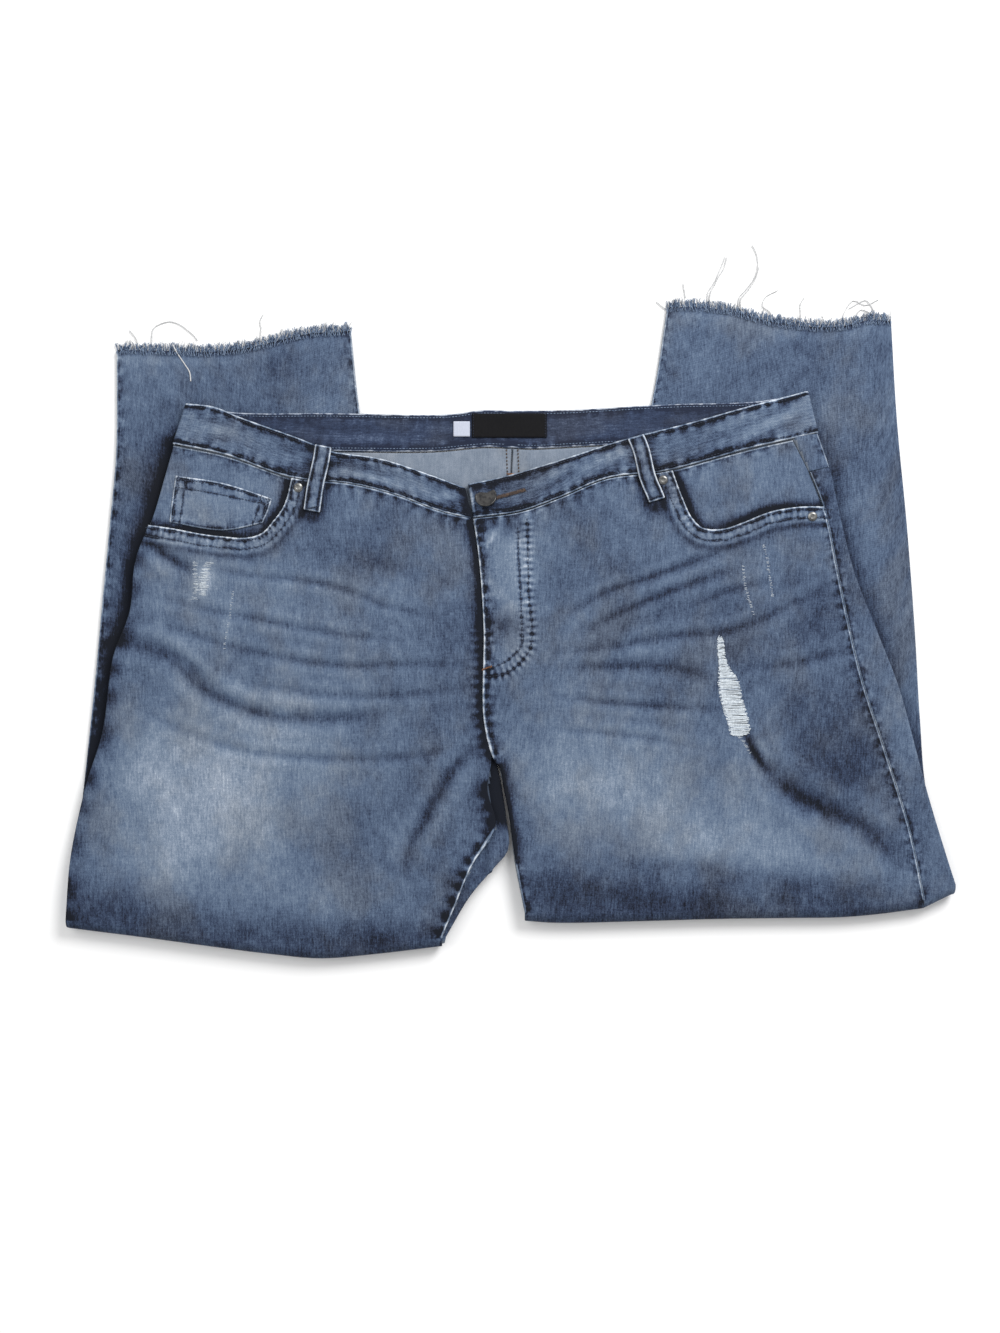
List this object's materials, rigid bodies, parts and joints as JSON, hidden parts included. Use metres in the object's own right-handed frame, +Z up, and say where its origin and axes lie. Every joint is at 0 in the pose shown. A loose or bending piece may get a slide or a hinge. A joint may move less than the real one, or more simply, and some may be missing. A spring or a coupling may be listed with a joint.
{
  "type": "ripped skinny jeans folded with the legs turned back",
  "caption": "Faded stretch-denim ripped jeans lying front up, legs folded back underneath, raw frayed hems showing past the waist.",
  "frame": {"origin": "centre of the jeans' bounding box, on the surface they lie on", "axes": "+X towards the wearer's left leg, +Y towards the waist and hems, +Z up from the surface"},
  "size_m": [0.7718, 0.6228, 0.018],
  "materials": {
    "denim": "faded mid-blue twill, brushed lighter on the thighs and along the seams",
    "black_label": "plain black woven label with no lettering",
    "white_tab": "plain white woven tab with no lettering",
    "zip_tape": "dark blue zip tape",
    "fringe": "loose pale and blue cotton threads",
    "bronze": "darkened antique bronze"
  },
  "bodies": {
    "root": {"front_panel_right": "denim", "back_panel_right": "denim", "front_panel_left": "denim", "back_panel_left": "denim", "back_yoke_right": "denim", "back_yoke_left": "denim", "back_pocket_right": "denim", "back_pocket_left": "denim", "pocket_facing_right": "denim", "pocket_facing_left": "denim", "coin_pocket_right": "denim", "waistband": "denim", "belt_loop_front_right": "denim", "belt_loop_front_left": "denim", "belt_loop_back_right": "denim", "belt_loop_back_centre": "denim", "belt_loop_back_left": "denim", "waist_label": "black_label", "size_tab": "white_tab", "fly_zip": "zip_tape", "button": "bronze", "rivet_pocket_right": "bronze", "rivet_pocket_left": "bronze", "rivet_side_left": "bronze", "hem_fringe_right": "fringe", "hem_fringe_left": "fringe", "loose_thread_1": "fringe", "loose_thread_2": "fringe"}
  },
  "joints": []
}
